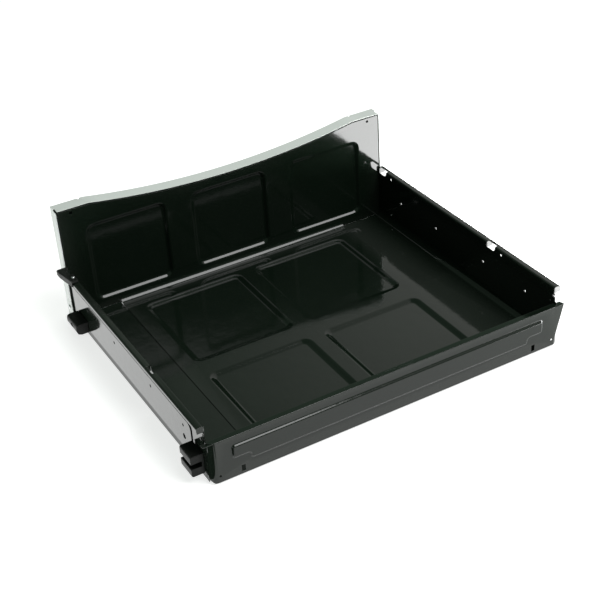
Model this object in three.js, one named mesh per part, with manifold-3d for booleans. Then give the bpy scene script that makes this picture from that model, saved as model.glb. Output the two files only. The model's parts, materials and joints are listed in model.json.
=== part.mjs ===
// Pull-out storage drawer of pressed and bent sheet steel: a floor pan, two flanged side walls with
// outer plates, a rear wall that wraps both corners, a tall front panel inside a painted front skin,
// and moulded glides held on by screws and rivets.
// Millimetres. +Z is up, the front of the drawer faces -Y, and the left side is +X.
// The origin is the middle of the footprint, on the plane that the pressed floor panels stand on.
import * as THREE from 'three';
import * as BufferGeometryUtils from 'three/addons/utils/BufferGeometryUtils.js';
import Module from 'manifold-3d';

const wasm = await Module();
wasm.setup();

// Driving dimensions of the body
const BODY_WIDTH = 600;          // over the two side walls
const BODY_DEPTH = 533;          // front skin to the rear wall's emboss
const SHEET = 1;                 // steel thickness
const TOUCH = 0.3;               // gap left between pieces that touch
const BEND = 2;                  // inside radius of an ordinary bend
const FOOT_BEND = 12;            // between a side wall and its foot
const BEND_STEPS = 4;

// Floor
const FLOOR_DROP = 3.5;          // depth of the pressed panels
const PAN_FROM_SIDE = 81;        // outside of a side wall to the pan's edge
const FLOOR_LAP = 20;            // how far the walls' feet reach under the pan
const PANEL_RIB = 28;            // rib between the left and right pressed panels
const PANEL_CROSS_RIB = 40;      // rib between the front and rear pressed panels
const PANEL_SIDE_MARGIN = 27;    // pan edge to pressed panel
const PANEL_FRONT_MARGIN = 24;
const PANEL_REAR_MARGIN = 35;
const PANEL_SLOPE = 7;           // width of the sloping edge
const PANEL_CORNER = 14;

// Side walls
const WALL_HEIGHT = 98;
const FLANGE_REACH = 11;         // top flange, outwards from the wall
const LIP_DROP = 6;
const NOTCH_LENGTH = 21;
const NOTCH_BEHIND_FRONT = 4.7;
const NOTCH_BEFORE_REAR = 182;
const NOTCH_DROP = 10;
const NOTCH_ROUND = 8;           // rear lower corner of a notch
const NOTCH_LEFT_EDGE = 4;       // flange left outside a notch
const FLANGE_TAB_DROP = 10;
const PIN_HOLE = 2;
const PIN_HOLE_BEHIND_NOTCH = 16;
const PIN_HOLE_DROP = 8;         // under the flange
const SIDE_HOLE = 2.5;
const SIDE_HOLE_DROP = 15;       // under the top of the side plate
const HOLES_BEHIND_FRONT = [97, 204];
const HOLES_BEFORE_REAR = [192, 82];
const PLATE_HOLE = 4.5;          // in the left plate only
const PLATE_HOLE_HEIGHT = 35;

// Side plates
const PLATE_DROP = 28;           // top of the wall to the top of its plate
const PLATE_FOOT = 2;
const PLATE_CORNER = 10;
const PLATE_TO_REAR = 57;        // rear end of the plate to the rear face

// Rear wall
const REAR_DROP = 26;            // top of the side walls to the top of the rear wall
const REAR_CORNER = 10;
const REAR_FLANGE = 13;
const REAR_FLANGE_FALL = 2.7;    // the flange's inner edge under its bend
const REAR_FOOT = 14;
const REAR_FOOT_MARGIN = 2;      // end of the rear foot to the end of a side wall's foot
const WRAP_LENGTH = 40;          // tab that wraps along each side
const WRAP_DROP = 12;            // top of the side wall to the top of the tab
const EAR_REACH = 9;
const WEB_INSET = 8;             // foot of the right web's slanted edge, inwards from the wall
const CORNER_CHAMFER = 8;
const EMBOSS_MARGIN = 32;        // end of the rear wall to the emboss
const EMBOSS_LOW = 24;
const EMBOSS_DROP = 14;          // top of the rear wall to the emboss
const EMBOSS_STEP = 28;          // length of the raised lower corner
const EMBOSS_STEP_RISE = 11;
const EMBOSS_DEPTH = 3;          // outwards from the rear wall
const EMBOSS_SLOPE = 3;
const EMBOSS_CORNER = 5;
const REAR_SLOT_WIDTH = 6;
const REAR_SLOT_HEIGHT = 11;
const REAR_SLOT_FROM_SIDE = 48;
const REAR_SLOT_FOOT = 6;
const REAR_HOLE_FROM_SIDE = 12;
const REAR_HOLE_FOOT = 13;

// Front
const FRONT_HEIGHT = 203;
const ARCH_FROM_SIDE = 52;       // side wall to the end of the low curve in the top edge
const ARCH_DIP = 22;
const ARCH_STEPS = 24;
const FRONT_DEPTH = 24;
const SKIN_OVERHANG = 4;         // skin beyond the side walls, each side
const SKIN_FOOT = 0.6;
const PANEL_CLEAR = 2;           // front panel's edge to the skin around it
const PANEL_RETURN = 16;
const FRONT_BEND = 13;
const FRONT_FOOT = 14;           // flange under the floor pan
const RECESS_FROM_SIDE = 41.5;
const RECESS_GAP = 47;
const RECESS_LOW = 19.5;
const RECESS_DROP = 40.5;        // top of the front to the top of the recesses
const RECESS_DEPTH = 5;
const RECESS_SLOPE = 5;
const RECESS_CORNER = 14;
const FRONT_HOLE = 2.3;
const FRONT_HOLE_FROM_SIDE = 21;
const FRONT_HOLE_FROM_TOP = 9;
const SKIN_NOTCH_FROM_SIDE = 44;
const SKIN_NOTCH = 4;
const SKIN_RELIEF = 3;           // cut from the skin's upper corners

// Glides and fasteners
const TOP_GLIDE_LENGTH = 50;
const TOP_GLIDE_THICK = 3.7;
const TOP_GLIDE_OUT = 8.5;       // beyond the lip
const TOP_GLIDE_INSET = 1;       // inner edge of the glide, from the wall
const TOP_GLIDE_TIP = 3;         // full width at the front, before the taper
const TOP_RIVET_INSET = 12;      // rear end of the glide to its rivet
const SKID_LENGTH = 42;
const SKID_BEHIND_FRONT = 20;
const SKID_REACH = 20.4;
const SKID_FOOT = 8;
const SKID_HEIGHT = 20;
const RAIL_GLIDE_LENGTH = 34;
const RAIL_GLIDE_REACH = 20.4;
const RAIL_GLIDE_FOOT = 12;
const RAIL_GLIDE_HEIGHT = 35;
const RAIL_GROOVE = 8;
const RAIL_GLIDE_BASE = 3.4;
const RAIL_GLIDE_GAP = 3;        // side plate to the glide
const GLIDE_STEPS = 3;           // facets in a glide's rounded corner
const SKID_STEPS = 2;
const SOFT_CORNER = 2;           // outer corners of the top glide
const JAW_CORNER = 3;            // outer corners of the grooved glide
const GROOVE_CORNER = 1.5;
const SKID_LOW_CORNER = 8;
const SKID_TOP_CORNER = 5;
const SKID_SCREW_SINK = 11.7;    // outer face of the skid down to its screw's seat
const SHANK = 1.7;
const SHANK_CLEAR = 0.3;
const SCREW_HEAD = 3.5;
const SCREW_HEAD_HEIGHT = 2;
const RIVET_HEAD = 3;
const RIVET_HEAD_HEIGHT = 1.4;
const WRAP_HOLE = 2;
const LOW_HOLE = [15, 9];        // the tab's lowest hole: from the rear, and its height
const UPPER_RIVET = [20, 15];    // from the rear, and under the tab's top
const LOWER_RIVET_FROM_REAR = 15;
const HIGH_HOLES = [[14, 4], [14, 36]];   // from the rear, and under the tab's top
const SKIN_SCREW_HEIGHT = 19;
const TAIL = 1.5;                // shank standing proud inside
const HOLE_SIDES = 12;
const PAST = 1;                  // how far a cutter runs past the sheet it cuts

// Planes that follow from the sizes above
const HALF_WIDTH = BODY_WIDTH / 2;
const FRONT_Y = -BODY_DEPTH / 2;
const REAR_Y = BODY_DEPTH / 2 - EMBOSS_DEPTH;
const PANEL_Y = FRONT_Y + FRONT_DEPTH;
const WALL_FRONT = PANEL_Y + TOUCH;
const WALL_REAR = REAR_Y - SHEET - 2 * TOUCH;
const FLANGE_REAR = REAR_Y - REAR_FLANGE + SHEET;
const FRONT_FOOT_END = PANEL_Y + FRONT_BEND + FRONT_FOOT;
const PAN_HALF = HALF_WIDTH - PAN_FROM_SIDE;
const PAN_TOP = FLOOR_DROP + SHEET;
const FOOT_TOP = FLOOR_DROP - TOUCH;
const FOOT_INNER = PAN_HALF - FLOOR_LAP;
const PLATE_HEIGHT = WALL_HEIGHT - PLATE_DROP;
const REAR_HEIGHT = WALL_HEIGHT - REAR_DROP;
const WRAP_HEIGHT = WALL_HEIGHT - WRAP_DROP;
const WRAP_X = HALF_WIDTH + TOUCH;
const WRAP_OUT = WRAP_X + SHEET;
const LIP_X = HALF_WIDTH + FLANGE_REACH;
const SKIN_X = HALF_WIDTH + SKIN_OVERHANG;
const PLATE_REAR = REAR_Y - PLATE_TO_REAR;
const WRAP_FRONT = REAR_Y - WRAP_LENGTH;
const NOTCHES_AT = [WALL_FRONT + NOTCH_BEHIND_FRONT, REAR_Y - NOTCH_BEFORE_REAR];
const SIDE_HOLES_AT = [
  ...HOLES_BEHIND_FRONT.map((behind) => FRONT_Y + behind),
  ...HOLES_BEFORE_REAR.map((before) => REAR_Y - before),
];
const GLIDE_X = WRAP_OUT + TOUCH;
const SKID_Y = WALL_FRONT + SKID_BEHIND_FRONT;
const SKID_SCREW = [SKID_Y + SKID_LENGTH / 2, SKID_FOOT + SKID_HEIGHT / 2];
const SKID_SEAT = GLIDE_X + SKID_REACH - SKID_SCREW_SINK;
const RAIL_GLIDE_Y = PLATE_REAR + RAIL_GLIDE_GAP;
const GROOVE_SCREW = [RAIL_GLIDE_Y + RAIL_GLIDE_LENGTH / 2, RAIL_GLIDE_FOOT + RAIL_GLIDE_HEIGHT / 2];
const WRAP_RIVETS = [
  [REAR_Y - UPPER_RIVET[0], WRAP_HEIGHT - UPPER_RIVET[1]],
  [REAR_Y - LOWER_RIVET_FROM_REAR, FOOT_TOP + FOOT_BEND + RIVET_HEAD],
];
const WRAP_HOLES = HIGH_HOLES.map(([fromRear, drop]) => [REAR_Y - fromRear, WRAP_HEIGHT - drop]);
const TOP_RIVET = [HALF_WIDTH + FLANGE_REACH / 2, WALL_FRONT + TOP_GLIDE_LENGTH - TOP_RIVET_INSET];
const SKIN_SCREW = [PANEL_Y - FRONT_DEPTH / 2, SKIN_SCREW_HEIGHT];
const ARCH_HALF = HALF_WIDTH - ARCH_FROM_SIDE;
const RECESS_WIDTH = (BODY_WIDTH - 2 * RECESS_FROM_SIDE - 2 * RECESS_GAP) / 3;

const X_AXIS = new THREE.Vector3(1, 0, 0);
const Y_AXIS = new THREE.Vector3(0, 1, 0);
const Z_AXIS = new THREE.Vector3(0, 0, 1);
const LEFT = 1;
const RIGHT = -1;

// Solids: three.js geometry in, manifold for cuts and joins, three.js geometry out

function toSolid(geometry) {
  const bare = geometry.index ? geometry.toNonIndexed() : geometry.clone();
  bare.deleteAttribute('normal');
  bare.deleteAttribute('uv');
  const merged = BufferGeometryUtils.mergeVertices(bare, 1e-4);
  const mesh = new wasm.Mesh({
    numProp: 3,
    vertProperties: new Float32Array(merged.attributes.position.array),
    triVerts: new Uint32Array(merged.index.array),
  });
  return new wasm.Manifold(mesh);
}

function toGeometry(solid) {
  const mesh = solid.getMesh();
  const geometry = new THREE.BufferGeometry();
  geometry.setAttribute('position', new THREE.BufferAttribute(new Float32Array(mesh.vertProperties), 3));
  geometry.setIndex(new THREE.BufferAttribute(new Uint32Array(mesh.triVerts), 1));
  geometry.computeVertexNormals();
  return geometry;
}

const join = (...solids) => solids.reduce((whole, piece) => whole.add(piece));
const cut = (solid, cutters) => cutters.reduce((rest, cutter) => rest.subtract(cutter), solid);

// A flat outline pulled along one axis. Along x the outline is drawn in (y, z), along y in (x, z).
function pull(points, axis, from, to) {
  const shape = points instanceof THREE.Shape ? points : new THREE.Shape(points);
  const geometry = new THREE.ExtrudeGeometry(shape, { depth: to - from, bevelEnabled: false });
  const turn = new THREE.Matrix4();
  if (axis === 'x') {
    turn.makeBasis(Y_AXIS, Z_AXIS, X_AXIS).setPosition(from, 0, 0);
  } else if (axis === 'y') {
    turn.makeBasis(X_AXIS, Z_AXIS, Y_AXIS.clone().negate()).setPosition(0, to, 0);
  } else {
    turn.makeTranslation(0, 0, from);
  }
  geometry.applyMatrix4(turn);
  return toSolid(geometry);
}

function block(x0, x1, y0, y1, z0, z1) {
  const geometry = new THREE.BoxGeometry(Math.abs(x1 - x0), y1 - y0, z1 - z0);
  geometry.translate((x0 + x1) / 2, (y0 + y1) / 2, (z0 + z1) / 2);
  return toSolid(geometry);
}

const vector = (a, b) => new THREE.Vector2(a, b);

// Corner points with their own radius, as [a, b, radius], made into an outline with round corners
function roundedOutline(corners, steps = BEND_STEPS) {
  const outline = [];
  corners.forEach(([a, b, radius = 0], i) => {
    const corner = vector(a, b);
    const before = vector(...corners[(i + corners.length - 1) % corners.length]).sub(corner).normalize();
    const after = vector(...corners[(i + 1) % corners.length]).sub(corner).normalize();
    if (radius === 0) {
      outline.push(corner);
      return;
    }
    const half = before.angleTo(after) / 2;
    const reach = radius / Math.tan(half);
    const start = corner.clone().addScaledVector(before, reach);
    const middle = before.clone().add(after).normalize().multiplyScalar(radius / Math.sin(half)).add(corner);
    const startAngle = start.clone().sub(middle).angle();
    const endAngle = corner.clone().addScaledVector(after, reach).sub(middle).angle();
    const turn = THREE.MathUtils.euclideanModulo(endAngle - startAngle + Math.PI, 2 * Math.PI) - Math.PI;
    for (let step = 0; step <= steps; step += 1) {
      const angle = startAngle + (turn * step) / steps;
      outline.push(vector(middle.x + radius * Math.cos(angle), middle.y + radius * Math.sin(angle)));
    }
  });
  return outline;
}

const rectangle = (a0, a1, b0, b1, radius) =>
  [[a0, b0, radius], [a1, b0, radius], [a1, b1, radius], [a0, b1, radius]];

// The section of a bent sheet: the sheet's middle line, with a radius for each bend, given thickness
function bentSheet(points, radii) {
  const line = [];
  const normalOf = (from, to) => vector(from.y - to.y, to.x - from.x).normalize();
  const last = points.length - 1;
  line.push([points[0], normalOf(points[0], points[1])]);
  for (let i = 1; i < last; i += 1) {
    const first = normalOf(points[i - 1], points[i]);
    const second = normalOf(points[i], points[i + 1]);
    const radius = radii[i - 1];
    const side = Math.sign(first.cross(second));
    const half = Math.acos(first.dot(second)) / 2;
    const toMiddle = first.clone().add(second).normalize().multiplyScalar((side * radius) / Math.cos(half));
    const middle = points[i].clone().add(toMiddle);
    for (let step = 0; step <= BEND_STEPS; step += 1) {
      const normal = first.clone().rotateAround(vector(0, 0), (side * 2 * half * step) / BEND_STEPS);
      line.push([middle.clone().addScaledVector(normal, -side * radius), normal]);
    }
  }
  line.push([points[last], normalOf(points[last - 1], points[last])]);
  const one = line.map(([point, normal]) => point.clone().addScaledVector(normal, SHEET / 2));
  const other = line.map(([point, normal]) => point.clone().addScaledVector(normal, -SHEET / 2));
  return [...one, ...other.reverse()];
}

// Right-angled corners, anticlockwise, drawn in by a distance, with their radii to match
function drawnIn(corners, by) {
  const count = corners.length;
  return corners.map(([a, b, radius], i) => {
    const corner = vector(a, b);
    const before = corner.clone().sub(vector(...corners[(i + count - 1) % count])).normalize();
    const after = vector(...corners[(i + 1) % count]).sub(corner).normalize();
    const inward = vector(-before.y - after.y, before.x + after.x);
    return [a + by * inward.x, b + by * inward.y, radius - by * Math.sign(before.cross(after))];
  });
}

// The solid between two outlines with as many points as each other
function loft(low, lowZ, high, highZ) {
  const count = low.length;
  const sides = low.flatMap((_, i) => {
    const next = (i + 1) % count;
    return [i, next, count + next, i, count + next, count + i];
  });
  const floor = THREE.ShapeUtils.triangulateShape(low, []).flatMap(([a, b, c]) => [c, b, a]);
  const roof = THREE.ShapeUtils.triangulateShape(high, []).flat().map((i) => count + i);
  const places = [...low.flatMap(({ x, y }) => [x, y, lowZ]), ...high.flatMap(({ x, y }) => [x, y, highZ])];
  const geometry = new THREE.BufferGeometry();
  geometry.setAttribute('position', new THREE.Float32BufferAttribute(places, 3));
  geometry.setIndex([...sides, ...floor, ...roof]);
  return toSolid(geometry);
}

// Presses dishes with sloping edges into a sheet. Each dish is drawn by its corners at the sheet's
// face, z = 0, and goes down from there. "place" turns a dish from its own frame onto the sheet.
function pressed(sheet, dishes, depth, slope, place) {
  return dishes.reduce((whole, corners) => {
    const rim = roundedOutline(corners);
    const tray = loft(roundedOutline(drawnIn(corners, slope)), -depth, rim, 0);
    const outside = place(tray.translate([0, 0, -SHEET]));
    const inside = place(join(tray, pull(rim, 'z', 0, SHEET)));
    return whole.add(outside).subtract(inside);
  }, sheet);
}

function rod(radius, axis, at, from, to, sides = HOLE_SIDES) {
  const geometry = new THREE.CylinderGeometry(radius, radius, to - from, sides);
  const middle = (from + to) / 2;
  if (axis === 'x') {
    geometry.rotateZ(-Math.PI / 2).translate(middle, at[0], at[1]);
  } else if (axis === 'y') {
    geometry.translate(at[0], middle, at[1]);
  } else {
    geometry.rotateX(Math.PI / 2).translate(at[0], at[1], middle);
  }
  return toSolid(geometry);
}

// A hole through a side of the drawer, as wide as asked, through every sheet between two x values
function sideHole(side, radius, at, near = HALF_WIDTH - SHEET, far = WRAP_OUT) {
  const ends = [side * (near - PAST), side * (far + PAST)].sort((a, b) => a - b);
  return rod(radius, 'x', at, ends[0], ends[1]);
}

const shankHole = (side, at, near, far) => sideHole(side, SHANK + SHANK_CLEAR, at, near, far);

// Floor pan

function floorPanels() {
  const xs = [PANEL_RIB / 2, PAN_HALF - PANEL_SIDE_MARGIN];
  const front = PANEL_Y + FRONT_BEND + PANEL_FRONT_MARGIN;
  const rear = WALL_REAR - PANEL_REAR_MARGIN;
  const middle = (front + rear - PANEL_CROSS_RIB) / 2;
  const rows = [[front, middle], [middle + PANEL_CROSS_RIB, rear]];
  return rows.flatMap(([low, high]) => [
    rectangle(xs[0], xs[1], low, high, PANEL_CORNER),
    rectangle(-xs[1], -xs[0], low, high, PANEL_CORNER),
  ]);
}

function floorPan() {
  const sheet = block(-PAN_HALF, PAN_HALF, PANEL_Y + FRONT_BEND, WALL_REAR, FLOOR_DROP, PAN_TOP);
  const onFloor = (solid) => solid.translate([0, 0, PAN_TOP]);
  return pressed(sheet, floorPanels(), FLOOR_DROP, PANEL_SLOPE, onFloor);
}

// Side walls

function notchOutline(from) {
  const floor = WALL_HEIGHT - NOTCH_DROP;
  const roof = WALL_HEIGHT + PAST;
  const to = from + NOTCH_LENGTH;
  return roundedOutline([[from, floor, 1], [to, floor, NOTCH_ROUND], [to, roof, 0], [from, roof, 0]]);
}

// The strip of flange at a notch or at the rear end, bent straight down
function flangeTab(side, y) {
  const inner = side * (HALF_WIDTH + TOUCH);
  const outer = side * (LIP_X - SHEET / 2);
  const top = WALL_HEIGHT - SHEET / 2;
  return block(inner, outer, y - SHEET, y, WALL_HEIGHT - FLANGE_TAB_DROP, top);
}

function sideWall(side) {
  const middle = SHEET / 2;
  const wallX = HALF_WIDTH - middle;
  const section = bentSheet([
    vector(side * FOOT_INNER, FOOT_TOP - middle),
    vector(side * wallX, FOOT_TOP - middle),
    vector(side * wallX, WALL_HEIGHT - middle),
    vector(side * (LIP_X - middle), WALL_HEIGHT - middle),
    vector(side * (LIP_X - middle), WALL_HEIGHT - LIP_DROP),
  ], [FOOT_BEND, BEND, BEND].map((inside) => inside + middle));
  const rearEnd = block(side * (HALF_WIDTH - REAR_CORNER - 2 * SHEET), side * (LIP_X + PAST), FLANGE_REAR,
    REAR_Y + PAST, 0, WALL_HEIGHT + PAST);
  const frontFoot = block(side * (FOOT_INNER - PAST), side * (PAN_HALF + TOUCH), WALL_FRONT - PAST,
    FRONT_FOOT_END + TOUCH, 0, PAN_TOP);
  const reach = [side * (HALF_WIDTH - SHEET - PAST), side * (LIP_X - NOTCH_LEFT_EDGE)].sort((a, b) => a - b);
  const notches = NOTCHES_AT.map((y) => pull(notchOutline(y), 'x', reach[0], reach[1]));
  const wall = cut(pull(section, 'y', WALL_FRONT, WALL_REAR), [rearEnd, frontFoot, ...notches]);
  const tabs = [...NOTCHES_AT, FLANGE_REAR].map((y) => flangeTab(side, y));
  const pinHoles = NOTCHES_AT.map((y) =>
    sideHole(side, PIN_HOLE, [y + NOTCH_LENGTH + PIN_HOLE_BEHIND_NOTCH, WALL_HEIGHT - PIN_HOLE_DROP]));
  return cut(join(wall, ...tabs), [
    ...pinHoles,
    ...sidePattern(side),
    ...wrapHoles(side),
    ...(side === LEFT ? [topRivetHole()] : []),
  ]);
}

// Only the left side carries the top glide and the grooved glide
const topRivetHole = () =>
  rod(SHANK + SHANK_CLEAR, 'z', TOP_RIVET, WALL_HEIGHT - 2 * SHEET, WALL_HEIGHT + TOP_GLIDE_THICK + PAST);

// Holes that a side wall shares with the tab wrapped over it
function wrapHoles(side) {
  return [
    ...(side === LEFT ? [shankHole(side, GROOVE_SCREW)] : []),
    ...WRAP_RIVETS.map((at) => shankHole(side, at)),
    ...WRAP_HOLES.map((at) => sideHole(side, WRAP_HOLE, at)),
  ];
}

// Holes that go through a side wall and its plate alike
function sidePattern(side) {
  return [
    ...SIDE_HOLES_AT.map((y) => sideHole(side, SIDE_HOLE, [y, PLATE_HEIGHT - SIDE_HOLE_DROP])),
    shankHole(side, SKID_SCREW),
  ];
}

function sidePlate(side) {
  const outline = roundedOutline([
    [WALL_FRONT, PLATE_FOOT, 0],
    [PLATE_REAR, PLATE_FOOT, 0],
    [PLATE_REAR, PLATE_HEIGHT, PLATE_CORNER],
    [WALL_FRONT, PLATE_HEIGHT, PLATE_CORNER],
  ]);
  const faces = [side * WRAP_X, side * WRAP_OUT].sort((a, b) => a - b);
  const ownHole = sideHole(side, PLATE_HOLE, [SIDE_HOLES_AT.at(-1), PLATE_HOLE_HEIGHT]);
  const holes = side === LEFT ? [...sidePattern(side), ownHole] : sidePattern(side);
  return cut(pull(outline, 'x', faces[0], faces[1]), holes);
}

// Rear wall

// The emboss in the rear wall, drawn in (x, z): its lower corners are stepped up
function embossCorners() {
  const end = HALF_WIDTH - EMBOSS_MARGIN;
  const step = end - EMBOSS_STEP;
  const raised = EMBOSS_LOW + EMBOSS_STEP_RISE;
  const half = [
    [step, EMBOSS_LOW, EMBOSS_CORNER],
    [step, raised, EMBOSS_CORNER],
    [end, raised, EMBOSS_CORNER],
    [end, REAR_HEIGHT - EMBOSS_DROP, EMBOSS_CORNER],
  ];
  const mirrored = half.map(([x, z, radius]) => [-x, z, radius]);
  return [...half, ...mirrored.reverse()];
}

function rearWall() {
  const middle = SHEET / 2;
  const section = bentSheet([
    vector(WRAP_X + middle, WRAP_FRONT),
    vector(WRAP_X + middle, REAR_Y - middle),
    vector(-WRAP_X - middle, REAR_Y - middle),
    vector(-WRAP_X - middle, WRAP_FRONT),
  ], [REAR_CORNER, REAR_CORNER]);
  const wide = WRAP_OUT + PAST;
  const aboveRear = block(-wide, wide, FLANGE_REAR + TOUCH, REAR_Y + PAST, REAR_HEIGHT, WRAP_HEIGHT + PAST);
  const shell = pull(section, 'z', FOOT_TOP - SHEET, WRAP_HEIGHT).subtract(aboveRear);
  const flangeX = HALF_WIDTH - SHEET - TOUCH;
  const earX = HALF_WIDTH + EAR_REACH;
  const flangeEdge = REAR_Y - REAR_FLANGE;
  const flangeSection = [
    vector(flangeEdge, REAR_HEIGHT - REAR_FLANGE_FALL - SHEET),
    vector(REAR_Y - middle, REAR_HEIGHT - SHEET),
    vector(REAR_Y - middle, REAR_HEIGHT),
    vector(flangeEdge, REAR_HEIGHT - REAR_FLANGE_FALL),
  ];
  const flange = pull(flangeSection, 'x', -flangeX, flangeX);
  const besideWall = block(-earX - PAST, earX + PAST, flangeEdge - PAST, FLANGE_REAR + 2 * TOUCH, 0,
    REAR_HEIGHT + PAST);
  const ears = pull(flangeSection, 'x', -earX, earX).subtract(besideWall);
  // On the right the rear face runs on past its corner, as a flat web under the ear
  const web = pull([
    vector(RIGHT * (HALF_WIDTH - REAR_CORNER - WEB_INSET), CORNER_CHAMFER),
    vector(RIGHT * (HALF_WIDTH - WEB_INSET), CORNER_CHAMFER),
    vector(RIGHT * earX, REAR_HEIGHT - middle),
    vector(RIGHT * (HALF_WIDTH - REAR_CORNER - WEB_INSET), REAR_HEIGHT - middle),
  ], 'y', REAR_Y - SHEET, REAR_Y);
  const footX = FOOT_INNER - REAR_FOOT_MARGIN;
  const foot = block(-footX, footX, REAR_Y - REAR_FOOT, REAR_Y - middle, FOOT_TOP - SHEET, FOOT_TOP);
  const onInside = (solid) => solid.rotate([90, 0, 0]).translate([0, REAR_Y - SHEET, 0]);
  const shape = join(shell, flange, ears, web, foot);
  const sheet = pressed(shape, [embossCorners()], EMBOSS_DEPTH, EMBOSS_SLOPE, onInside);
  const cutters = [LEFT, RIGHT].flatMap((side) => {
    const slotX = side * (HALF_WIDTH - REAR_SLOT_FROM_SIDE);
    const slotHalf = REAR_SLOT_WIDTH / 2;
    const chamfer = [
      vector(side * (WRAP_OUT - CORNER_CHAMFER), -PAST),
      vector(side * (WRAP_OUT + PAST), -PAST),
      vector(side * (WRAP_OUT + PAST), CORNER_CHAMFER),
    ];
    return [
      block(slotX - slotHalf, slotX + slotHalf, REAR_Y - 2 * SHEET, REAR_Y + PAST, REAR_SLOT_FOOT,
        REAR_SLOT_FOOT + REAR_SLOT_HEIGHT),
      rod(PIN_HOLE, 'y', [side * (HALF_WIDTH - REAR_HOLE_FROM_SIDE), REAR_HOLE_FOOT], REAR_Y - 2 * SHEET,
        REAR_Y + PAST),
      pull(chamfer, 'y', REAR_Y - REAR_CORNER, REAR_Y + PAST),
      ...wrapHoles(side),
      sideHole(side, WRAP_HOLE, [REAR_Y - LOW_HOLE[0], LOW_HOLE[1]], WRAP_X + PAST),
    ];
  });
  return cut(sheet, cutters);
}

// Front panel and skin

const archDrop = (x) => ARCH_DIP * Math.max(0, 1 - (x / ARCH_HALF) ** 2);

// The outline of the front, seen square on, drawn in by a margin all round
function frontOutline(half, foot, inset) {
  const points = [vector(-half, foot), vector(half, foot)];
  for (let step = -1; step <= ARCH_STEPS + 1; step += 1) {
    const along = THREE.MathUtils.clamp(1 - (2 * step) / ARCH_STEPS, -1, 1) * ARCH_HALF;
    const x = step < 0 ? half : step > ARCH_STEPS ? -half : along;
    points.push(vector(x, FRONT_HEIGHT - inset - archDrop(x)));
  }
  return points;
}

function frontPanel() {
  const inset = SHEET + PANEL_CLEAR;
  const half = SKIN_X - inset;
  const foot = FLOOR_DROP + TOUCH;
  const face = PANEL_Y - SHEET;
  const outer = pull(frontOutline(half, foot, inset), 'y', PANEL_Y - PANEL_RETURN, PANEL_Y);
  const inner = pull(frontOutline(half - SHEET, foot - PAST, inset + SHEET), 'y',
    PANEL_Y - PANEL_RETURN - PAST, face);
  const bendTop = FOOT_TOP - SHEET / 2 + FRONT_BEND;
  const bottomGap = block(-PAN_HALF - TOUCH, PAN_HALF + TOUCH, face - PAST, PANEL_Y + PAST, 0, bendTop);
  const footSection = bentSheet([
    vector(PANEL_Y - SHEET / 2, bendTop + PAST),
    vector(PANEL_Y - SHEET / 2, FOOT_TOP - SHEET / 2),
    vector(FRONT_FOOT_END, FOOT_TOP - SHEET / 2),
  ], [FRONT_BEND - TOUCH]);
  const footFlange = pull(footSection, 'x', -PAN_HALF, PAN_HALF);
  const onFace = (solid) => solid.rotate([-90, 0, 0]).translate([0, PANEL_Y, 0]);
  const reach = RECESS_WIDTH / 2;
  const recesses = [-1, 0, 1].map((place) => place * (RECESS_WIDTH + RECESS_GAP)).map((x) =>
    rectangle(x - reach, x + reach, RECESS_DROP - FRONT_HEIGHT, -RECESS_LOW, RECESS_CORNER));
  const shell = join(cut(outer, [inner, bottomGap]), footFlange);
  const sheet = pressed(shell, recesses, RECESS_DEPTH, RECESS_SLOPE, onFace);
  return cut(sheet, [LEFT, RIGHT].flatMap((side) => [
    rod(FRONT_HOLE, 'y', [side * (HALF_WIDTH - FRONT_HOLE_FROM_SIDE), FRONT_HEIGHT - FRONT_HOLE_FROM_TOP],
      face - PAST, PANEL_Y + PAST),
    shankHole(side, SKIN_SCREW, half - SHEET, half),
  ]));
}

function frontSkin() {
  const outer = pull(frontOutline(SKIN_X, SKIN_FOOT, 0), 'y', FRONT_Y, PANEL_Y);
  const inner = pull(frontOutline(SKIN_X - SHEET, SKIN_FOOT + SHEET, SHEET), 'y', FRONT_Y + SHEET,
    PANEL_Y + PAST);
  const cutters = [LEFT, RIGHT].flatMap((side) => {
    const notchAt = HALF_WIDTH - SKIN_NOTCH_FROM_SIDE;
    return [
      block(side * (SKIN_X - SKIN_RELIEF), side * (SKIN_X + PAST), FRONT_Y + FRONT_DEPTH / 2, PANEL_Y + PAST,
        FRONT_HEIGHT - SKIN_RELIEF, FRONT_HEIGHT + PAST),
      block(side * (notchAt - SKIN_NOTCH / 2), side * (notchAt + SKIN_NOTCH / 2), FRONT_Y - PAST,
        FRONT_Y + SKIN_NOTCH, FRONT_HEIGHT - SKIN_NOTCH / 2, FRONT_HEIGHT + PAST),
      shankHole(side, SKIN_SCREW, SKIN_X - SHEET, SKIN_X),
    ];
  });
  return cut(outer.subtract(inner), cutters);
}

// Glides

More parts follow.
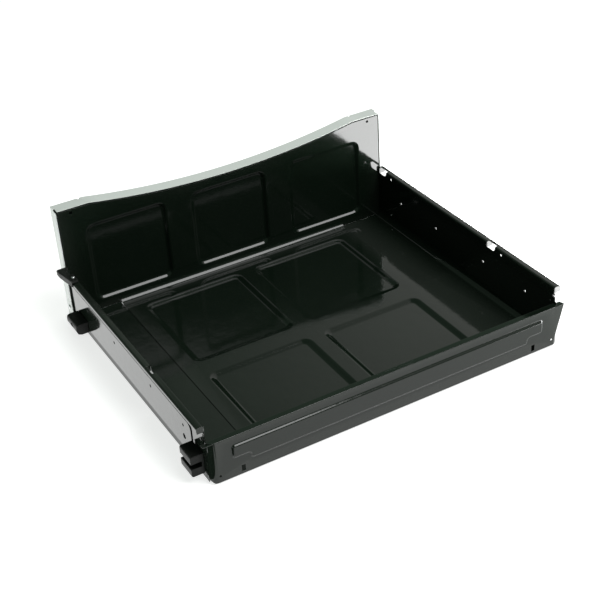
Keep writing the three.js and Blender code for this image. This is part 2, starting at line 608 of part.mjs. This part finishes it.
// Clipped over the top flange behind the front, open over the notch beneath it. It is widest at the
// front and tapers back to the lip.
function topGlide(side) {
  const low = WALL_HEIGHT + TOUCH;
  const top = low + TOP_GLIDE_THICK;
  const lip = LIP_X + TOUCH;
  const out = LIP_X + TOP_GLIDE_OUT;
  const inner = HALF_WIDTH + TOP_GLIDE_INSET;
  const section = roundedOutline([
    [side * inner, low, 0],
    [side * lip, low, 0],
    [side * lip, WALL_HEIGHT - LIP_DROP, 0],
    [side * out, WALL_HEIGHT - LIP_DROP, SOFT_CORNER],
    [side * out, top, SOFT_CORNER],
    [side * inner, top, TOP_GLIDE_INSET],
  ], GLIDE_STEPS);
  const front = WALL_FRONT + TOUCH;
  const rear = WALL_FRONT + TOP_GLIDE_LENGTH;
  const notch = NOTCHES_AT[0];
  const window = block(side * HALF_WIDTH, side * (LIP_X - NOTCH_LEFT_EDGE), notch - TOUCH,
    notch + NOTCH_LENGTH + TOUCH, low - PAST, top + PAST);
  const taper = [
    vector(side * (out + PAST), front + TOP_GLIDE_TIP),
    vector(side * (out + PAST), rear + PAST),
    vector(side * (lip + TOP_GLIDE_INSET), rear + PAST),
  ];
  return cut(pull(section, 'y', front, rear), [
    window,
    pull(taper, 'z', WALL_HEIGHT - LIP_DROP - PAST, top + PAST),
    topRivetHole(),
  ]);
}

// A solid skid low on the side, with a rounded outer edge and a sunk screw
function skid(side) {
  const out = GLIDE_X + SKID_REACH;
  const top = SKID_FOOT + SKID_HEIGHT;
  const section = roundedOutline([
    [side * GLIDE_X, SKID_FOOT, 0],
    [side * out, SKID_FOOT, SKID_LOW_CORNER],
    [side * out, top, SKID_TOP_CORNER],
    [side * GLIDE_X, top, 0],
  ], SKID_STEPS);
  return cut(pull(section, 'y', SKID_Y, SKID_Y + SKID_LENGTH), [
    shankHole(side, SKID_SCREW, GLIDE_X, out),
    sideHole(side, SCREW_HEAD + PAST, SKID_SCREW, SKID_SEAT + PAST, out),
  ]);
}

// Grooved glide at the rear corner, running on the rail, held by a screw in its groove
function railGlide(side) {
  const out = GLIDE_X + RAIL_GLIDE_REACH;
  const base = GLIDE_X + RAIL_GLIDE_BASE;
  const top = RAIL_GLIDE_FOOT + RAIL_GLIDE_HEIGHT;
  const grooveLow = RAIL_GLIDE_FOOT + (RAIL_GLIDE_HEIGHT - RAIL_GROOVE) / 2;
  const section = roundedOutline([
    [side * GLIDE_X, RAIL_GLIDE_FOOT, 0],
    [side * out, RAIL_GLIDE_FOOT, JAW_CORNER],
    [side * out, grooveLow, GROOVE_CORNER],
    [side * base, grooveLow, 0],
    [side * base, grooveLow + RAIL_GROOVE, 0],
    [side * out, grooveLow + RAIL_GROOVE, GROOVE_CORNER],
    [side * out, top, JAW_CORNER],
    [side * GLIDE_X, top, 0],
  ], GLIDE_STEPS);
  const body = pull(section, 'y', RAIL_GLIDE_Y, RAIL_GLIDE_Y + RAIL_GLIDE_LENGTH);
  return body.subtract(shankHole(side, GROOVE_SCREW, GLIDE_X, base));
}

// Fasteners

// A domed head on a shank, along +Z: the head sits at z = 0 and the shank goes down
function fastener(headRadius, headHeight, length) {
  return new THREE.LatheGeometry([
    vector(0, -length),
    vector(SHANK * 0.8, -length),
    vector(SHANK, -length + SHANK * 0.4),
    vector(SHANK, 0),
    vector(headRadius, 0),
    vector(headRadius, headHeight * 0.35),
    vector(headRadius * 0.75, headHeight * 0.85),
    vector(0, headHeight),
  ], 16).rotateX(Math.PI / 2);
}

// The object

const enamel = () => new THREE.MeshStandardMaterial({ color: 0x050705, roughness: 0.15, metalness: 0 });
const paint = () => new THREE.MeshStandardMaterial({ color: 0xdde0df, roughness: 0.35, metalness: 0 });
const plastic = () => new THREE.MeshStandardMaterial({ color: 0x0b0b0b, roughness: 0.5, metalness: 0 });
const zinc = () => new THREE.MeshStandardMaterial({ color: 0xb4b6b8, roughness: 0.35, metalness: 0.9 });

const drawer = new THREE.Group();

function addPiece(name, geometry, material) {
  const mesh = new THREE.Mesh(geometry, material);
  mesh.name = name;
  drawer.add(mesh);
  return mesh;
}

const addSolid = (name, solid, material) => addPiece(name, toGeometry(solid), material);

// A fastener driven in from the side: its head stands on the face at headX
function addSideFastener(name, side, at, headX, radius, height, material) {
  const length = headX - (HALF_WIDTH - SHEET) + TAIL;
  const mesh = addPiece(name, fastener(radius, height, length), material);
  mesh.position.set(side * (headX + TOUCH), at[0], at[1]);
  mesh.rotation.y = (side * Math.PI) / 2;
}

addSolid('floor_pan', floorPan(), enamel());
addSolid('rear_wall', rearWall(), enamel());
addSolid('front_panel', frontPanel(), enamel());
addSolid('front_skin', frontSkin(), paint());

[[LEFT, 'left'], [RIGHT, 'right']].forEach(([side, word]) => {
  addSolid(`side_wall_${word}`, sideWall(side), enamel());
  addSolid(`side_plate_${word}`, sidePlate(side), enamel());
  addSolid(`skid_${word}`, skid(side), plastic());
  addSideFastener(`skid_screw_${word}`, side, SKID_SCREW, SKID_SEAT, SCREW_HEAD, SCREW_HEAD_HEIGHT, zinc());
  addSideFastener(`skin_screw_${word}`, side, SKIN_SCREW, SKIN_X, SCREW_HEAD, SCREW_HEAD_HEIGHT, zinc());
  WRAP_RIVETS.forEach((at, i) => {
    const name = `wrap_rivet_${i === 0 ? 'upper' : 'lower'}_${word}`;
    addSideFastener(name, side, at, WRAP_OUT, RIVET_HEAD, RIVET_HEAD_HEIGHT, enamel());
  });
});

// The top glide and the grooved glide are on the left side only
addSolid('top_glide', topGlide(LEFT), plastic());
addSolid('rail_glide', railGlide(LEFT), plastic());
const grooveSeat = GLIDE_X + RAIL_GLIDE_BASE;
addSideFastener('rail_glide_screw', LEFT, GROOVE_SCREW, grooveSeat, SCREW_HEAD, SCREW_HEAD_HEIGHT, zinc());
const rivetLength = TOP_GLIDE_THICK + SHEET + 2 * TOUCH + TAIL;
const topRivet = addPiece('top_glide_rivet', fastener(RIVET_HEAD, RIVET_HEAD_HEIGHT, rivetLength), zinc());
topRivet.position.set(LEFT * TOP_RIVET[0], TOP_RIVET[1], WALL_HEIGHT + TOP_GLIDE_THICK + 2 * TOUCH);

export default drawer;
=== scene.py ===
# %% [markdown]
# # A pressed-steel storage drawer in glossy black enamel
#
# The drawer is folded and pressed from thin sheet: a floor pan, two flanged sides, a rear wall and a
# tall front, with moulded glides screwed to the sides. The sizes come from the engineering model, which
# is loaded first and stays where it is. This lesson gives each piece its rounded folds and its finish.

# %% Load the frame
import json
import math

import bmesh
import bpy
from mathutils import Euler, Matrix, Vector


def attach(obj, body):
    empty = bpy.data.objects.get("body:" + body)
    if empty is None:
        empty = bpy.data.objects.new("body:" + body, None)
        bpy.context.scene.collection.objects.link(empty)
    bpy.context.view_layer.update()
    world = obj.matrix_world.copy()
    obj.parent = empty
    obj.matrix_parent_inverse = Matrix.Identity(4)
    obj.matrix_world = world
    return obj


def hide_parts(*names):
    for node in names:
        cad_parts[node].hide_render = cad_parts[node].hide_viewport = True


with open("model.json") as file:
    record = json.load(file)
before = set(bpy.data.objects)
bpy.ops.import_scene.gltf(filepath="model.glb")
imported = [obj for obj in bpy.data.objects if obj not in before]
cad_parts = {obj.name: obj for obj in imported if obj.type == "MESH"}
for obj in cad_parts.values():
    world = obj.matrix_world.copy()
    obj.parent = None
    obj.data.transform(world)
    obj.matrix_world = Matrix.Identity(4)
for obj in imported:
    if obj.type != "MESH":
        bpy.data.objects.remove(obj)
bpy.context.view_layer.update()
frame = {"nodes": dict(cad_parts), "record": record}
MM = 0.001
LEFT = 1
RIGHT = -1

# %% [markdown]
# ## Camera
#
# The view is from behind the drawer's left corner, a long way off with a long lens, so that the
# parallel folds converge only a little. The camera is tipped by a few degrees, as a hand-held one is.

# %% Camera
CAMERA_AT = (0.8204, 1.5348, 1.1800)
CAMERA_TURN = (57.039, 3.287, 149.941)      # degrees about x, y and z
LENS = 78.05                                # millimetres, on a 36 mm sensor

camera_data = bpy.data.cameras.new("camera")
camera_data.lens = LENS
camera_data.sensor_width = 36
camera = bpy.data.objects.new("camera", camera_data)
camera.location = CAMERA_AT
camera.rotation_euler = Euler([math.radians(angle) for angle in CAMERA_TURN])
bpy.context.scene.collection.objects.link(camera)
bpy.context.scene.camera = camera
print("camera stands", round(camera.location.length, 2), "m from the drawer")

# %% [markdown]
# ## Light
#
# Black enamel shows hardly any colour of its own, so what the eye reads is the room mirrored in it.
# A tall softbox behind the drawer gives the pressed folds their bright lines. Two panels laid beside
# the drawer act as a light table: the sides and the end of the tall front mirror them. The room itself
# is dim and greenish on one side and pale on the other, and the floor glows like a light table.

# %% Light
DIM_ROOM = (0.13, 0.18, 0.14, 1)
PALE_ROOM = (0.85, 0.86, 0.82, 1)
PALE_ALONG_X = (-0.20, -0.60)               # the x of a direction where the room is dim, then pale
PALE_ALONG_Z = (0.32, 0.48)                 # and its z: it is dim near the floor


def softbox(name, place, aim, size, radiance):
    """A rectangular light of the given radiance, which the camera itself does not see."""
    data = bpy.data.lights.new(name, "AREA")
    data.shape = "RECTANGLE"
    data.size, data.size_y = size
    data.energy = radiance * math.pi * size[0] * size[1]
    light = bpy.data.objects.new(name, data)
    light.location = place
    light.rotation_euler = (Vector(aim) - Vector(place)).to_track_quat("-Z", "Y").to_euler()
    light.visible_camera = False
    bpy.context.scene.collection.objects.link(light)


softbox("key", (-0.70, 1.04, 2.08), (0, 0, 0), (1.5, 1.6), 8.5)
softbox("table_right", (-0.78, 0.05, 0.002), (-0.78, 0.05, 1), (0.8, 1.3), 15.0)
softbox("table_left", (0.736, 0.0, 0.002), (0.736, 0.0, 1), (0.86, 1.6), 0.9)

world = bpy.data.worlds.new("studio")
world.use_nodes = True
room = world.node_tree
direction = room.nodes.new("ShaderNodeTexCoord")
split = room.nodes.new("ShaderNodeSeparateXYZ")
both = room.nodes.new("ShaderNodeMath")
both.operation = "MULTIPLY"
for i, (axis, (dim, pale)) in enumerate((("X", PALE_ALONG_X), ("Z", PALE_ALONG_Z))):
    fade = room.nodes.new("ShaderNodeMapRange")
    fade.interpolation_type = "SMOOTHSTEP"
    fade.inputs["From Min"].default_value = dim
    fade.inputs["From Max"].default_value = pale
    room.links.new(split.outputs[axis], fade.inputs["Value"])
    room.links.new(fade.outputs["Result"], both.inputs[i])
blend = room.nodes.new("ShaderNodeMix")
blend.data_type = "RGBA"
blend.inputs[6].default_value = DIM_ROOM
blend.inputs[7].default_value = PALE_ROOM
room.links.new(direction.outputs["Generated"], split.inputs["Vector"])
room.links.new(both.outputs["Value"], blend.inputs[0])
room.links.new(blend.outputs[2], room.nodes["Background"].inputs["Color"])
bpy.context.scene.world = world
bpy.context.scene.view_settings.view_transform = "Standard"

# %% [markdown]
# ## Shader maths
#
# Node materials are written as Python expressions. A `Wire` wraps one output socket, and adding or
# multiplying wires makes the Math nodes. `Shader.node` makes any other node.

# %% Wires and shaders
PROUD = 0.56                                # pointiness of an edge that stands proud; a flat face has 0.5
PROUD_SOFTNESS = 0.05


class Wire:
    """One value in a node tree, with arithmetic."""

    def __init__(self, shader, socket):
        self.shader = shader
        self.socket = socket

    def _math(self, operation, one, other):
        return self.shader.node("Math", {"operation": operation}, {0: one, 1: other})

    def __add__(self, other):
        return self._math("ADD", self, other)

    def __radd__(self, other):
        return self._math("ADD", other, self)

    def __mul__(self, other):
        return self._math("MULTIPLY", self, other)

    def above(self, level, softness):
        """0 below a level and 1 above it, over a soft edge."""
        settings = {"interpolation_type": "SMOOTHSTEP"}
        inputs = {"Value": self, "From Min": level - softness, "From Max": level + softness}
        return self.shader.node("MapRange", settings, inputs)


class Shader:
    """A material under construction around one Principled BSDF."""

    def __init__(self, name, **constants):
        self.material = bpy.data.materials.new(name)
        self.material.use_nodes = True
        self.tree = self.material.node_tree
        self.surface = self.tree.nodes["Principled BSDF"]
        for socket, value in constants.items():
            self.surface.inputs[socket.replace("_", " ")].default_value = value

    def node(self, kind, settings=None, inputs=None, output=0):
        node = self.tree.nodes.new("ShaderNode" + kind)
        for name, value in (settings or {}).items():
            setattr(node, name, value)
        for socket, value in (inputs or {}).items():
            if isinstance(value, Wire):
                self.tree.links.new(value.socket, node.inputs[socket])
            else:
                node.inputs[socket].default_value = value
        return Wire(self, node.outputs[output])

    def place(self):
        return self.node("TexCoord", output="Object")

    def noise(self, scale, detail):
        return self.node("TexNoise", {}, {"Vector": self.place(), "Scale": scale, "Detail": detail})

    def mix(self, factor, one, other):
        return self.node("Mix", {"data_type": "RGBA"}, {0: factor, 6: one, 7: other}, output=2)

    def bump(self, height, strength, distance):
        return self.node("Bump", {}, {"Strength": strength, "Distance": distance, "Height": height})

    def edges(self):
        """1 on rims and folds that stand proud, 0 elsewhere."""
        return self.node("NewGeometry", output="Pointiness").above(PROUD, PROUD_SOFTNESS)

    def set(self, **wires):
        for socket, wire in wires.items():
            self.tree.links.new(wire.socket, self.surface.inputs[socket.replace("_", " ")])
        return self.material


print("shader tools:", Wire.__name__, "and", Shader.__name__)

# %% [markdown]
# ## Finishes
#
# Baked enamel is a thick, glassy, almost black coat. Seen close it has a slow orange-peel ripple, a
# haze of fine dust that dulls the mirror in places, and thinner, paler edges where it drew back from
# the rims. The white skin is a satin powder coat, the glides are moulded plastic with a fine grain,
# and the screws are bright zinc.

# %% Finishes


def enamel():
    shader = Shader("black_enamel", IOR=1.42)
    haze = shader.noise(7.0, 4.0).above(0.55, 0.25)
    dust = shader.noise(900.0, 2.0).above(0.68, 0.08)
    ripple = shader.noise(55.0, 2.0)
    peel = shader.noise(420.0, 2.0)
    coat = shader.mix(haze, (0.0028, 0.0056, 0.0034, 1), (0.0040, 0.0074, 0.0046, 1))
    worn = shader.mix(shader.edges() * 0.5, coat, (0.02, 0.023, 0.02, 1))
    colour = shader.mix(dust * 0.10, worn, (0.10, 0.11, 0.10, 1))
    rough = 0.075 + haze * 0.03 + dust * 0.12
    return shader.set(Base_Color=colour, Roughness=rough,
                      Normal=shader.bump(ripple + peel * 0.12, 0.05, 0.002))


def white_paint():
    shader = Shader("white_powder_coat", IOR=1.3)
    cloud = shader.noise(5.0, 3.0)
    grain = shader.noise(1500.0, 2.0)
    scuff = shader.noise(60.0, 5.0).above(0.72, 0.05)
    colour = shader.mix(cloud, (0.50, 0.53, 0.51, 1), (0.56, 0.59, 0.57, 1))
    worn = shader.mix(scuff * 0.25 + shader.edges() * 0.2, colour, (0.36, 0.38, 0.37, 1))
    return shader.set(Base_Color=worn, Roughness=0.30 + cloud * 0.12,
                      Normal=shader.bump(grain, 0.12, 0.0004))


def moulded_plastic():
    shader = Shader("black_moulded_plastic", IOR=1.2)
    grain = shader.noise(1800.0, 2.0)
    flow = shader.noise(40.0, 3.0)
    scuff = shader.noise(220.0, 4.0).above(0.66, 0.06)
    colour = shader.mix(flow, (0.003, 0.004, 0.003, 1), (0.007, 0.008, 0.007, 1))
    worn = shader.mix(scuff * 0.25 + shader.edges() * 0.4, colour, (0.04, 0.04, 0.04, 1))
    return shader.set(Base_Color=worn, Roughness=0.34 + flow * 0.15,
                      Normal=shader.bump(grain + flow * 0.5, 0.18, 0.0004))


def zinc():
    shader = Shader("bright_zinc", Metallic=1.0)
    spangle = shader.node("TexVoronoi", {}, {"Vector": shader.place(), "Scale": 700.0}, output="Color")
    tone = shader.node("SeparateColor", {}, {"Color": spangle})
    stain = shader.noise(300.0, 4.0).above(0.6, 0.15)
    colour = shader.mix(stain * 0.5, (0.62, 0.63, 0.64, 1), (0.36, 0.34, 0.30, 1))
    return shader.set(Base_Color=colour, Roughness=0.24 + tone * 0.16 + stain * 0.15)


FINISHES = {"enamel": enamel(), "paint": white_paint(), "plastic": moulded_plastic(), "zinc": zinc()}
SLOT_OF = {part["node"]: part["material_slot"] for part in frame["record"]["subparts"]}
for name, node in frame["nodes"].items():
    node.data.materials.clear()
    node.data.materials.append(FINISHES[SLOT_OF[name]])
print("finishes:", sorted(FINISHES))

# %% [markdown]
# ## Sheet metal
#
# A press cannot make a knife edge: every fold and every pressed dish has a soft radius, and every cut
# rim is eased by the enamel that wraps it. Those radii carry the long highlights. Each sheet is copied
# from the engineering model, its loose triangles are merged into clean faces, and then its pressed
# folds and its rims are bevelled by different amounts.

# %% Soften a sheet
FOLD_FROM = math.radians(24)                # gentler edges are facets of a bend
RIM_FROM = math.radians(60)
SHORT = 0.0008                              # a rim edge too short to ease
MERGE = 0.00002
FLAT = math.radians(0.3)
SMOOTH_TO = math.radians(38)                # sharper edges are shaded as edges
LONG = 0.2                                  # an edge longer than this runs along the whole bend
NEAR = 0.0003                               # how close its ends lie to the bend's y and z
FOLD_SEGMENTS = 5
BEND_SEGMENTS = 6
RIM_SEGMENTS = 2
EASED = 0.2 * MM
REAR_BEND = (0.2635, 0.072)                 # y and z of the outer edge of the rear wall's top bend
REAR_BEND_RADIUS = 1.2 * MM
WRAP_FROM_X = 0.296                         # the wrapped corners lie beyond this, each side
WRAP_BAND = 0.006                           # and above and below the bend's height


def angle_of(edge):
    return edge.calc_face_angle(0.0) if len(edge.link_faces) == 2 else 0.0


def bevel(mesh, edges, width, segments):
    bmesh.ops.bevel(mesh, geom=edges, offset=width, offset_type="OFFSET", segments=segments, profile=0.5,
                    affect="EDGES", clamp_overlap=False, material=-1)


def add_piece(name, mesh, finish, stands_for):
    """Makes the object, smooths its shading, gives it its finish and rides it on the drawer."""
    data = bpy.data.meshes.new(name)
    mesh.to_mesh(data)
    mesh.free()
    data.polygons.foreach_set("use_smooth", [True] * len(data.polygons))
    data.set_sharp_from_angle(angle=SMOOTH_TO)
    data.materials.append(FINISHES[finish])
    piece = bpy.data.objects.new(name, data)
    bpy.context.scene.collection.objects.link(piece)
    weighted = piece.modifiers.new("weighted_normals", "WEIGHTED_NORMAL")
    weighted.keep_sharp = True
    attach(piece, "root")
    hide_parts(*stands_for)
    return piece


def soften(node, fold, rim, reach=0.0):
    """A rounded copy of a sheet. Folds are rounded only where x is within the reach."""
    mesh = bmesh.new()
    mesh.from_mesh(frame["nodes"][node].data)
    bmesh.ops.remove_doubles(mesh, verts=mesh.verts, dist=MERGE)
    bmesh.ops.dissolve_limit(mesh, angle_limit=FLAT, verts=mesh.verts, edges=mesh.edges)
    if fold:
        folds = [edge for edge in mesh.edges if FOLD_FROM < angle_of(edge) < RIM_FROM
                 and max(abs(vert.co.x) for vert in edge.verts) < reach]
        bevel(mesh, folds, fold, FOLD_SEGMENTS)
    if node == "rear_wall":
        bevel(mesh, rear_bend(mesh), REAR_BEND_RADIUS, BEND_SEGMENTS)
    rims = [edge for edge in mesh.edges if angle_of(edge) > RIM_FROM and edge.calc_length() > SHORT
            and not (node == "rear_wall" and in_wrapped_corner(edge))]
    bevel(mesh, rims, rim, RIM_SEGMENTS)
    made = add_piece("soft_" + node, mesh, SLOT_OF[node], [node])
    print(made.name, len(made.data.polygons), "faces")
    return made


def in_wrapped_corner(edge):
    """True where the rear wall's flange runs into its wrapped corner, which is too tight to ease."""
    return any(abs(vert.co.x) > WRAP_FROM_X and abs(vert.co.z - REAR_BEND[1]) < WRAP_BAND
               for vert in edge.verts)


def rear_bend(mesh):
    """The long outer edges of the rear wall's top bend."""
    y, z = REAR_BEND
    return [edge for edge in mesh.edges if edge.calc_length() > LONG
            and all(abs(vert.co.y - y) < NEAR and abs(vert.co.z - z) < NEAR for vert in edge.verts)]


PRESSED = {"floor_pan": (2.6 * MM, 0.20), "front_panel": (2.2 * MM, 0.27), "rear_wall": (1.1 * MM, 0.275)}
for node, (fold, reach) in PRESSED.items():
    soften(node, fold, EASED, reach=reach)
for node in ("front_skin", "side_wall_left", "side_wall_right", "side_plate_left", "side_plate_right"):
    soften(node, 0.0, EASED)

# %% [markdown]
# ## Glides
#
# The glides are moulded, so every corner is rounder than a sheet's rim. They are softened copies as well,
# with a wider easing.

# %% Glides
MOULDED = 0.6 * MM
for node in ("skid_left", "skid_right", "rail_glide", "top_glide"):
    soften(node, 0.0, MOULDED)

# %% [markdown]
# ## Screws and rivets
#
# A fastener is a stack of rings bridged together. A screw's inner rings follow a cross instead of a
# circle, which sinks its driver recess. A rivet's inner rings sink a small round dimple.

# %% Fasteners
AROUND = 48
SHANK = 1.7 * MM
ARM_REACH = 1.7 * MM
ARM_HALF = 0.42 * MM


def cross(angle):
    """The radius of a cross at an angle: long along its arms and short between them."""
    off_arm = abs((angle + math.pi / 4) % (math.pi / 2) - math.pi / 4)
    return min(ARM_REACH, ARM_HALF / max(math.sin(off_arm), 0.001))


def circle(radius):
    return lambda angle: radius


def scaled(shape, factor):
    return lambda angle: shape(angle) * factor


def ring(mesh, shape, height):
    verts = []
    for step in range(AROUND):
        angle = 2 * math.pi * step / AROUND
        verts.append(mesh.verts.new((shape(angle) * math.cos(angle), shape(angle) * math.sin(angle), height)))
    return [mesh.edges.new((verts[i - 1], verts[i])) for i in range(AROUND)], verts


def turned(rings):
    """A closed solid from a list of (shape, height), along z."""
    mesh = bmesh.new()
    loops = [ring(mesh, shape, height) for shape, height in rings]
    for (lower, _), (upper, _) in zip(loops, loops[1:]):
        bmesh.ops.bridge_loops(mesh, edges=lower + upper)
    mesh.faces.new(loops[0][1])
    mesh.faces.new(loops[-1][1])
    bmesh.ops.recalc_face_normals(mesh, faces=mesh.faces)
    return mesh


def screw_rings(head, height, length):
    return [(circle(SHANK * 0.8), -length), (circle(SHANK), -length + SHANK * 0.4), (circle(SHANK), 0),
            (circle(head * 0.96), 0), (circle(head), height * 0.08), (circle(head), height * 0.30),
            (circle(head * 0.93), height * 0.55), (circle(head * 0.78), height * 0.80),
            (circle(head * 0.58), height * 0.95), (cross, height), (scaled(cross, 0.82), height * 0.35)]


def rivet_rings(head, height, length):
    return [(circle(SHANK * 0.8), -length), (circle(SHANK), -length + SHANK * 0.4), (circle(SHANK), 0),
            (circle(head * 0.95), 0), (circle(head), height * 0.10), (circle(head * 0.94), height * 0.50),
            (circle(head * 0.76), height * 0.85), (circle(head * 0.50), height),
            (circle(head * 0.30), height), (circle(head * 0.22), height * 0.80)]


HEADS = {"screw": (3.5 * MM, 2.0 * MM, screw_rings), "rivet": (3.0 * MM, 1.4 * MM, rivet_rings)}
TURN = {LEFT: Matrix.Rotation(math.pi / 2, 4, "Y"), RIGHT: Matrix.Rotation(-math.pi / 2, 4, "Y")}


def box_of(node):
    places = [node.matrix_world @ vert.co for vert in node.data.vertices]
    return [Vector(pick(place[axis] for place in places) for axis in range(3)) for pick in (min, max)]


def add_fastener(name):
    node = frame["nodes"][name]
    low, high = box_of(node)
    head, height, rings = HEADS["screw" if "screw" in name else "rivet"]
    middle = (low + high) / 2
    if name == "top_glide_rivet":
        mesh = turned(rings(head, height, high.z - low.z - height))
        seat = Matrix.Translation((middle.x, middle.y, high.z - height))
    else:
        side = LEFT if middle.x > 0 else RIGHT
        mesh = turned(rings(head, height, high.x - low.x - height))
        outer = high.x if side == LEFT else low.x
        seat = Matrix.Translation((outer - side * height, middle.y, middle.z)) @ TURN[side]
    bmesh.ops.transform(mesh, matrix=seat, verts=mesh.verts)
    return add_piece("turned_" + name, mesh, SLOT_OF[name], [name])


fasteners = [add_fastener(name) for name in sorted(frame["nodes"]) if "screw" in name or "rivet" in name]
print("fasteners:", len(fasteners))

# %% [markdown]
# ## The floor
#
# A plain pale floor, wide enough to fill the view, with the glow of a light table.

# %% Floor
FLOOR_HALF = 6.0
FLOOR_AT = (0, 0, -0.0005)
GLOW = 0.75


def flat_square(name, half, place, material):
    """A level square, not attached to the drawer."""
    mesh = bmesh.new()
    bmesh.ops.create_grid(mesh, x_segments=1, y_segments=1, size=half)
    data = bpy.data.meshes.new(name)
    mesh.to_mesh(data)
    mesh.free()
    data.materials.append(material)
    square = bpy.data.objects.new(name, data)
    square.location = place
    bpy.context.scene.collection.objects.link(square)
    return square


pale = Shader("pale_floor", Roughness=0.6, Emission_Color=(1, 1, 1, 1), Emission_Strength=GLOW)
pale.set(Base_Color=pale.mix(pale.noise(1.2, 2.0), (0.56, 0.56, 0.56, 1), (0.59, 0.59, 0.59, 1)))
studio_floor = flat_square("studio_floor", FLOOR_HALF, FLOOR_AT, pale.material)
print("floor:", 2 * FLOOR_HALF, "m across")

# %% [markdown]
# A black card lies beside the rear left corner. The camera does not see it, but the rounded corner and
# the end of the emboss mirror it, and so turn dark between the two pale sides.

# %% Card
CARD_HALF = 0.11
CARD_AT = (0.415, 0.345, 0.004)

black = Shader("black_card", Base_Color=(0.01, 0.011, 0.01, 1), Roughness=0.8)
card = flat_square("black_card", CARD_HALF, CARD_AT, black.material)
card.visible_camera = False
card.visible_shadow = False
card.visible_diffuse = False
print("card:", 2 * CARD_HALF, "m across at", CARD_AT)
